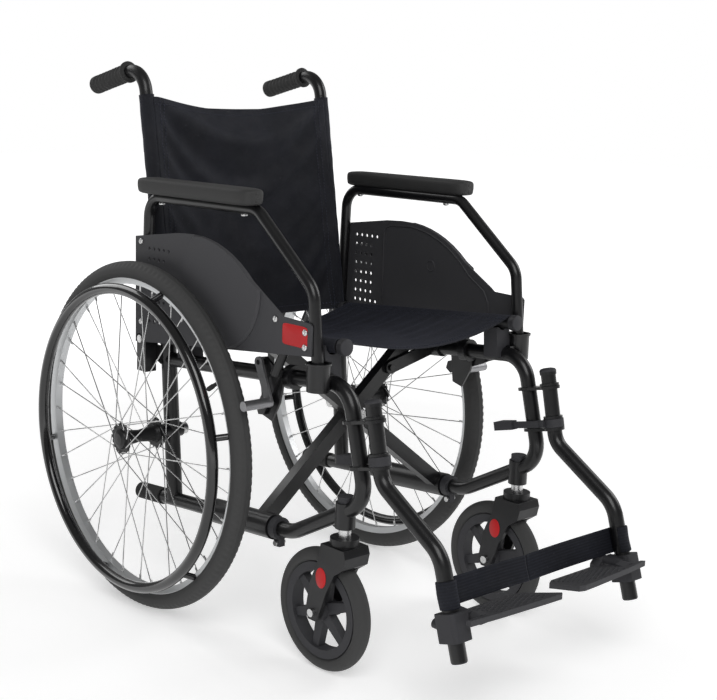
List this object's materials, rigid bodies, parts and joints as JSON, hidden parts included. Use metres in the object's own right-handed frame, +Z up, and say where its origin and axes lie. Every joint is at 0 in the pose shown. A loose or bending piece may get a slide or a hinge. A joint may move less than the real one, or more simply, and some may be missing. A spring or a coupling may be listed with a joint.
{
  "type": "manual wheelchair",
  "caption": "Folding self-propelled wheelchair with sling seat and back, flip-back padded armrests, swing-away legrests, flip-up footplates and wheel locks.",
  "frame": {"origin": "on the floor under the middle of the overall bounding box", "axes": "+Z up, the chair faces -Y, +X is the sitter's left"},
  "size_m": [0.6402, 1.046, 0.9452],
  "materials": {
    "frame_black": "satin powder coat",
    "grip_rubber": "matte ribbed",
    "fitting_plastic": "fine grained",
    "bolt_steel": "zinc plated",
    "tyre_rubber": "matte",
    "rim_alloy": "satin",
    "spoke_steel": "bright drawn",
    "hub_black": "semi gloss",
    "handrim_black": "gloss coat",
    "caster_rubber": "matte",
    "caster_plastic": "fine grained",
    "sling_fabric": "close nylon weave",
    "pad_skin": "moulded soft polyurethane skin",
    "panel_plastic": "fine grained",
    "strap_webbing": "ribbed webbing",
    "lock_metal": "cast and painted"
  },
  "bodies": {
    "right_frame": {"right_side_frame": "frame_black", "right_back_cane": "frame_black", "right_push_grip": "grip_rubber", "right_frame_fittings": "fitting_plastic", "right_frame_bolts": "bolt_steel", "right_stub_sleeve": "grip_rubber", "right_brake_bracket": "frame_black", "back_sling": "sling_fabric"},
    "right_wheel": {"right_tyre": "tyre_rubber", "right_rim": "rim_alloy", "right_spokes": "spoke_steel", "right_hub": "hub_black", "right_handrim": "handrim_black"},
    "right_fork": {"right_caster_fork": "hub_black", "right_caster_bolts": "bolt_steel"},
    "right_caster": {"right_caster_tyre": "caster_rubber", "right_caster_wheel": "caster_plastic"},
    "right_armrest": {"right_armrest_tube": "frame_black", "right_arm_pad": "pad_skin", "right_side_panel": "panel_plastic"},
    "right_hanger": {"right_hanger_tube": "frame_black", "right_calf_strap": "strap_webbing"},
    "right_latch": {"right_hanger_latch": "fitting_plastic"},
    "right_plate_clamp": {"right_footplate_clamp": "fitting_plastic"},
    "right_plate": {"right_footplate": "panel_plastic"},
    "right_lock_lever": {"right_brake_lever": "frame_black"},
    "right_lock_shoe": {"right_brake_shoe": "lock_metal"},
    "right_link": {"right_fold_link": "frame_black"},
    "left_frame": {"left_side_frame": "frame_black", "left_back_cane": "frame_black", "left_push_grip": "grip_rubber", "left_frame_fittings": "fitting_plastic", "left_frame_bolts": "bolt_steel", "left_stub_sleeve": "grip_rubber", "left_brake_bracket": "frame_black"},
    "left_wheel": {"left_tyre": "tyre_rubber", "left_rim": "rim_alloy", "left_spokes": "spoke_steel", "left_hub": "hub_black", "left_handrim": "handrim_black"},
    "left_fork": {"left_caster_fork": "hub_black", "left_caster_bolts": "bolt_steel"},
    "left_caster": {"left_caster_tyre": "caster_rubber", "left_caster_wheel": "caster_plastic"},
    "left_armrest": {"left_armrest_tube": "frame_black", "left_arm_pad": "pad_skin", "left_side_panel": "panel_plastic"},
    "left_hanger": {"left_hanger_tube": "frame_black", "left_calf_strap": "strap_webbing"},
    "left_latch": {"left_hanger_latch": "fitting_plastic"},
    "left_plate_clamp": {"left_footplate_clamp": "fitting_plastic"},
    "left_plate": {"left_footplate": "panel_plastic"},
    "left_lock_lever": {"left_brake_lever": "frame_black"},
    "left_lock_shoe": {"left_brake_shoe": "lock_metal"},
    "left_link": {"left_fold_link": "frame_black"},
    "cross_a": {"cross_bar_a": "frame_black", "cross_pivot_bolt": "bolt_steel", "seat_sling": "sling_fabric"},
    "cross_b": {"cross_bar_b": "frame_black"}
  },
  "joints": [
    {"name": "fold", "type": "hinge", "parent": "right_frame", "child": "cross_a", "pos_m": [-0.203, -0.04319, 0.19956], "axis": [0, -0.9969, 0.0785], "range_deg": [0, 41.53], "deforming": ["seat_sling", "back_sling", "right_calf_strap", "left_calf_strap"]},
    {"name": "brace_pivot", "type": "hinge", "parent": "cross_a", "child": "cross_b", "pos_m": [0, -0.03089, 0.35589], "axis": [0, -0.9969, 0.0785], "range_deg": [-83.11, 0]},
    {"name": "left_lower_pivot", "type": "hinge", "parent": "cross_b", "child": "left_frame", "pos_m": [0.203, -0.04319, 0.19956], "axis": [0, -0.9969, 0.0785], "range_deg": [0, 41.58]},
    {"name": "right_link_pivot", "type": "hinge", "parent": "right_frame", "child": "right_link", "pos_m": [-0.203, -0.02334, 0.45178], "axis": [0, -0.9969, 0.0785], "range_deg": [0, 89.75]},
    {"name": "left_link_pivot", "type": "hinge", "parent": "left_frame", "child": "left_link", "pos_m": [0.203, -0.02334, 0.45178], "axis": [0, -0.9969, 0.0785], "range_deg": [-89.75, 0]},
    {"name": "right_wheel_spin", "type": "hinge", "parent": "right_frame", "child": "right_wheel", "pos_m": [-0.274, 0.218, 0.305], "axis": [1, 0, 0], "continuous": true},
    {"name": "right_caster_swivel", "type": "hinge", "parent": "right_frame", "child": "right_fork", "pos_m": [-0.203, -0.2375, 0.24], "axis": [0, 0, 1], "continuous": true},
    {"name": "right_caster_spin", "type": "hinge", "parent": "right_fork", "child": "right_caster", "pos_m": [-0.203, -0.196, 0.1], "axis": [1, 0, 0], "continuous": true},
    {"name": "right_armrest_flip", "type": "hinge", "parent": "right_frame", "child": "right_armrest", "pos_m": [-0.232, 0.258, 0.468], "axis": [-1, 0, 0], "range_deg": [0, 90]},
    {"name": "right_hanger_swing", "type": "hinge", "parent": "right_frame", "child": "right_hanger", "pos_m": [-0.203, -0.29469, 0.425], "axis": [0, -0.2179, -0.976], "range_deg": [0, 90]},
    {"name": "right_latch_turn", "type": "hinge", "parent": "right_frame", "child": "right_latch", "pos_m": [-0.203, -0.30786, 0.366], "axis": [0, -0.2179, -0.976], "range_deg": [0, 7]},
    {"name": "right_plate_height", "type": "slide", "parent": "right_hanger", "child": "right_plate_clamp", "axis": [0, -0.2945, -0.9556], "range_m": [0, 0.035]},
    {"name": "right_plate_flip", "type": "hinge", "parent": "right_plate_clamp", "child": "right_plate", "pos_m": [-0.176, -0.4642, 0.172], "axis": [0, -1, 0], "range_deg": [0, 98.1]},
    {"name": "right_lock_lever_turn", "type": "hinge", "parent": "right_frame", "child": "right_lock_lever", "pos_m": [-0.227, -0.074, 0.425], "axis": [1, 0, 0], "range_deg": [0, 40]},
    {"name": "right_lock_shoe_turn", "type": "hinge", "parent": "right_frame", "child": "right_lock_shoe", "pos_m": [-0.233, -0.059, 0.478], "axis": [1, 0, 0], "range_deg": [0, 8.7]},
    {"name": "left_wheel_spin", "type": "hinge", "parent": "left_frame", "child": "left_wheel", "pos_m": [0.274, 0.218, 0.305], "axis": [1, 0, 0], "continuous": true},
    {"name": "left_caster_swivel", "type": "hinge", "parent": "left_frame", "child": "left_fork", "pos_m": [0.203, -0.2375, 0.24], "axis": [0, 0, 1], "continuous": true},
    {"name": "left_caster_spin", "type": "hinge", "parent": "left_fork", "child": "left_caster", "pos_m": [0.203, -0.196, 0.1], "axis": [1, 0, 0], "continuous": true},
    {"name": "left_armrest_flip", "type": "hinge", "parent": "left_frame", "child": "left_armrest", "pos_m": [0.232, 0.258, 0.468], "axis": [-1, 0, 0], "range_deg": [0, 90]},
    {"name": "left_hanger_swing", "type": "hinge", "parent": "left_frame", "child": "left_hanger", "pos_m": [0.203, -0.29469, 0.425], "axis": [0, 0.2179, 0.976], "range_deg": [0, 90]},
    {"name": "left_latch_turn", "type": "hinge", "parent": "left_frame", "child": "left_latch", "pos_m": [0.203, -0.30786, 0.366], "axis": [0, 0.2179, 0.976], "range_deg": [0, 7]},
    {"name": "left_plate_height", "type": "slide", "parent": "left_hanger", "child": "left_plate_clamp", "axis": [0, -0.2945, -0.9556], "range_m": [0, 0.035]},
    {"name": "left_plate_flip", "type": "hinge", "parent": "left_plate_clamp", "child": "left_plate", "pos_m": [0.176, -0.4642, 0.172], "axis": [0, 1, 0], "range_deg": [0, 98.1]},
    {"name": "left_lock_lever_turn", "type": "hinge", "parent": "left_frame", "child": "left_lock_lever", "pos_m": [0.227, -0.074, 0.425], "axis": [1, 0, 0], "range_deg": [-40, 0]},
    {"name": "left_lock_shoe_turn", "type": "hinge", "parent": "left_frame", "child": "left_lock_shoe", "pos_m": [0.233, -0.059, 0.478], "axis": [1, 0, 0], "range_deg": [-8.7, 0]}
  ],
  "couplings": [
    {"joint": "brace_pivot", "follows": "fold", "ratio": -2},
    {"joint": "left_lower_pivot", "follows": "fold", "ratio": 1},
    {"joint": "right_link_pivot", "follows": "fold", "ratio": 2.16},
    {"joint": "left_link_pivot", "follows": "fold", "ratio": -2.16},
    {"joint": "right_plate_flip", "follows": "fold", "ratio": 2.3598},
    {"joint": "left_plate_flip", "follows": "fold", "ratio": 2.3598},
    {"joint": "right_lock_shoe_turn", "follows": "right_lock_lever_turn", "ratio": 0.217},
    {"joint": "left_lock_shoe_turn", "follows": "left_lock_lever_turn", "ratio": 0.217}
  ]
}
